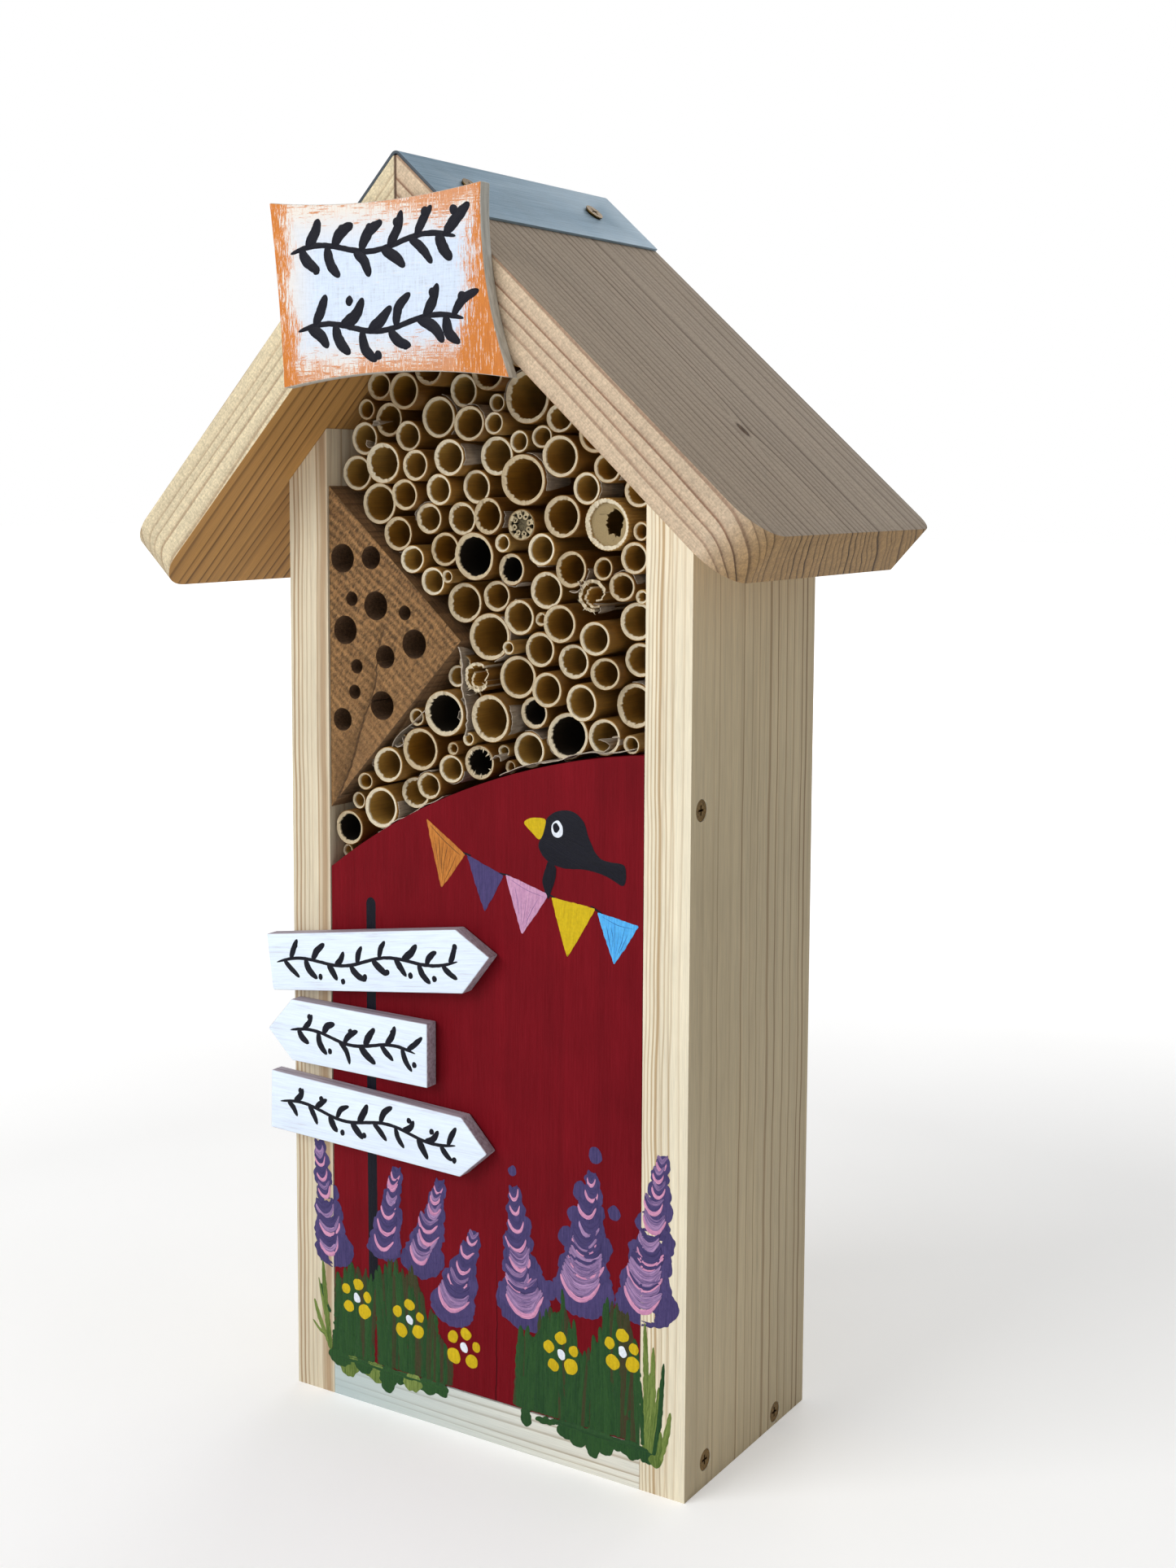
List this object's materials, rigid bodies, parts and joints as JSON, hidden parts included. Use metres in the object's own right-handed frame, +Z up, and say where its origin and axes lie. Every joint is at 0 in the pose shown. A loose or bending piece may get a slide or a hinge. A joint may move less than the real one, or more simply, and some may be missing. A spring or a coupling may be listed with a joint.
{
  "type": "insect hotel",
  "caption": "Narrow wooden insect hotel with a pitched overhanging roof, metal ridge cap, bamboo tube filling, drilled nesting block, painted front panel and blank arrow signs.",
  "frame": {"origin": "middle of the underside of the house", "axes": "+Z up, the front with the tube ends and the painted panel faces -Y, +X is to the right when looking at the front"},
  "size_m": [0.2523, 0.13, 0.4346],
  "materials": {
    "softwood": "planed pale spruce with straight growth lines",
    "roof_wood": "planed larch, grey-brown and slightly weathered",
    "block_wood": "rough-sawn brown end grain",
    "bamboo": "dry bamboo cane with a pale fibrous cut end",
    "reed": "dry reed stem",
    "red_paint": "deep red satin paint over wood, with hand-painted flowers",
    "white_paint": "white brushed paint over wood",
    "zinc_sheet": "brushed",
    "brass_screw": "yellow zinc-plated",
    "steel_plate": "galvanised"
  },
  "bodies": {
    "root": {"base_board": "softwood", "side_board_left": "softwood", "side_board_right": "softwood", "back_panel": "softwood", "front_panel": "red_paint", "tube_rest": "softwood", "roof_board_left": "roof_wood", "roof_board_right": "roof_wood", "ridge_cap": "zinc_sheet", "cap_screws": "brass_screw", "panel_screws": "brass_screw", "base_screws": "brass_screw", "back_screws": "brass_screw", "nesting_block": "block_wood", "bamboo_large": "bamboo", "bamboo_medium": "bamboo", "bamboo_small": "bamboo", "reed_stems": "reed", "thick_stem": "bamboo", "pith_stem": "reed", "split_stems": "bamboo", "arrow_sign_upper": "white_paint", "arrow_sign_middle": "white_paint", "arrow_sign_lower": "white_paint", "gable_sign": "white_paint", "hanger_plate": "steel_plate", "hanger_screws": "steel_plate"}
  },
  "joints": []
}
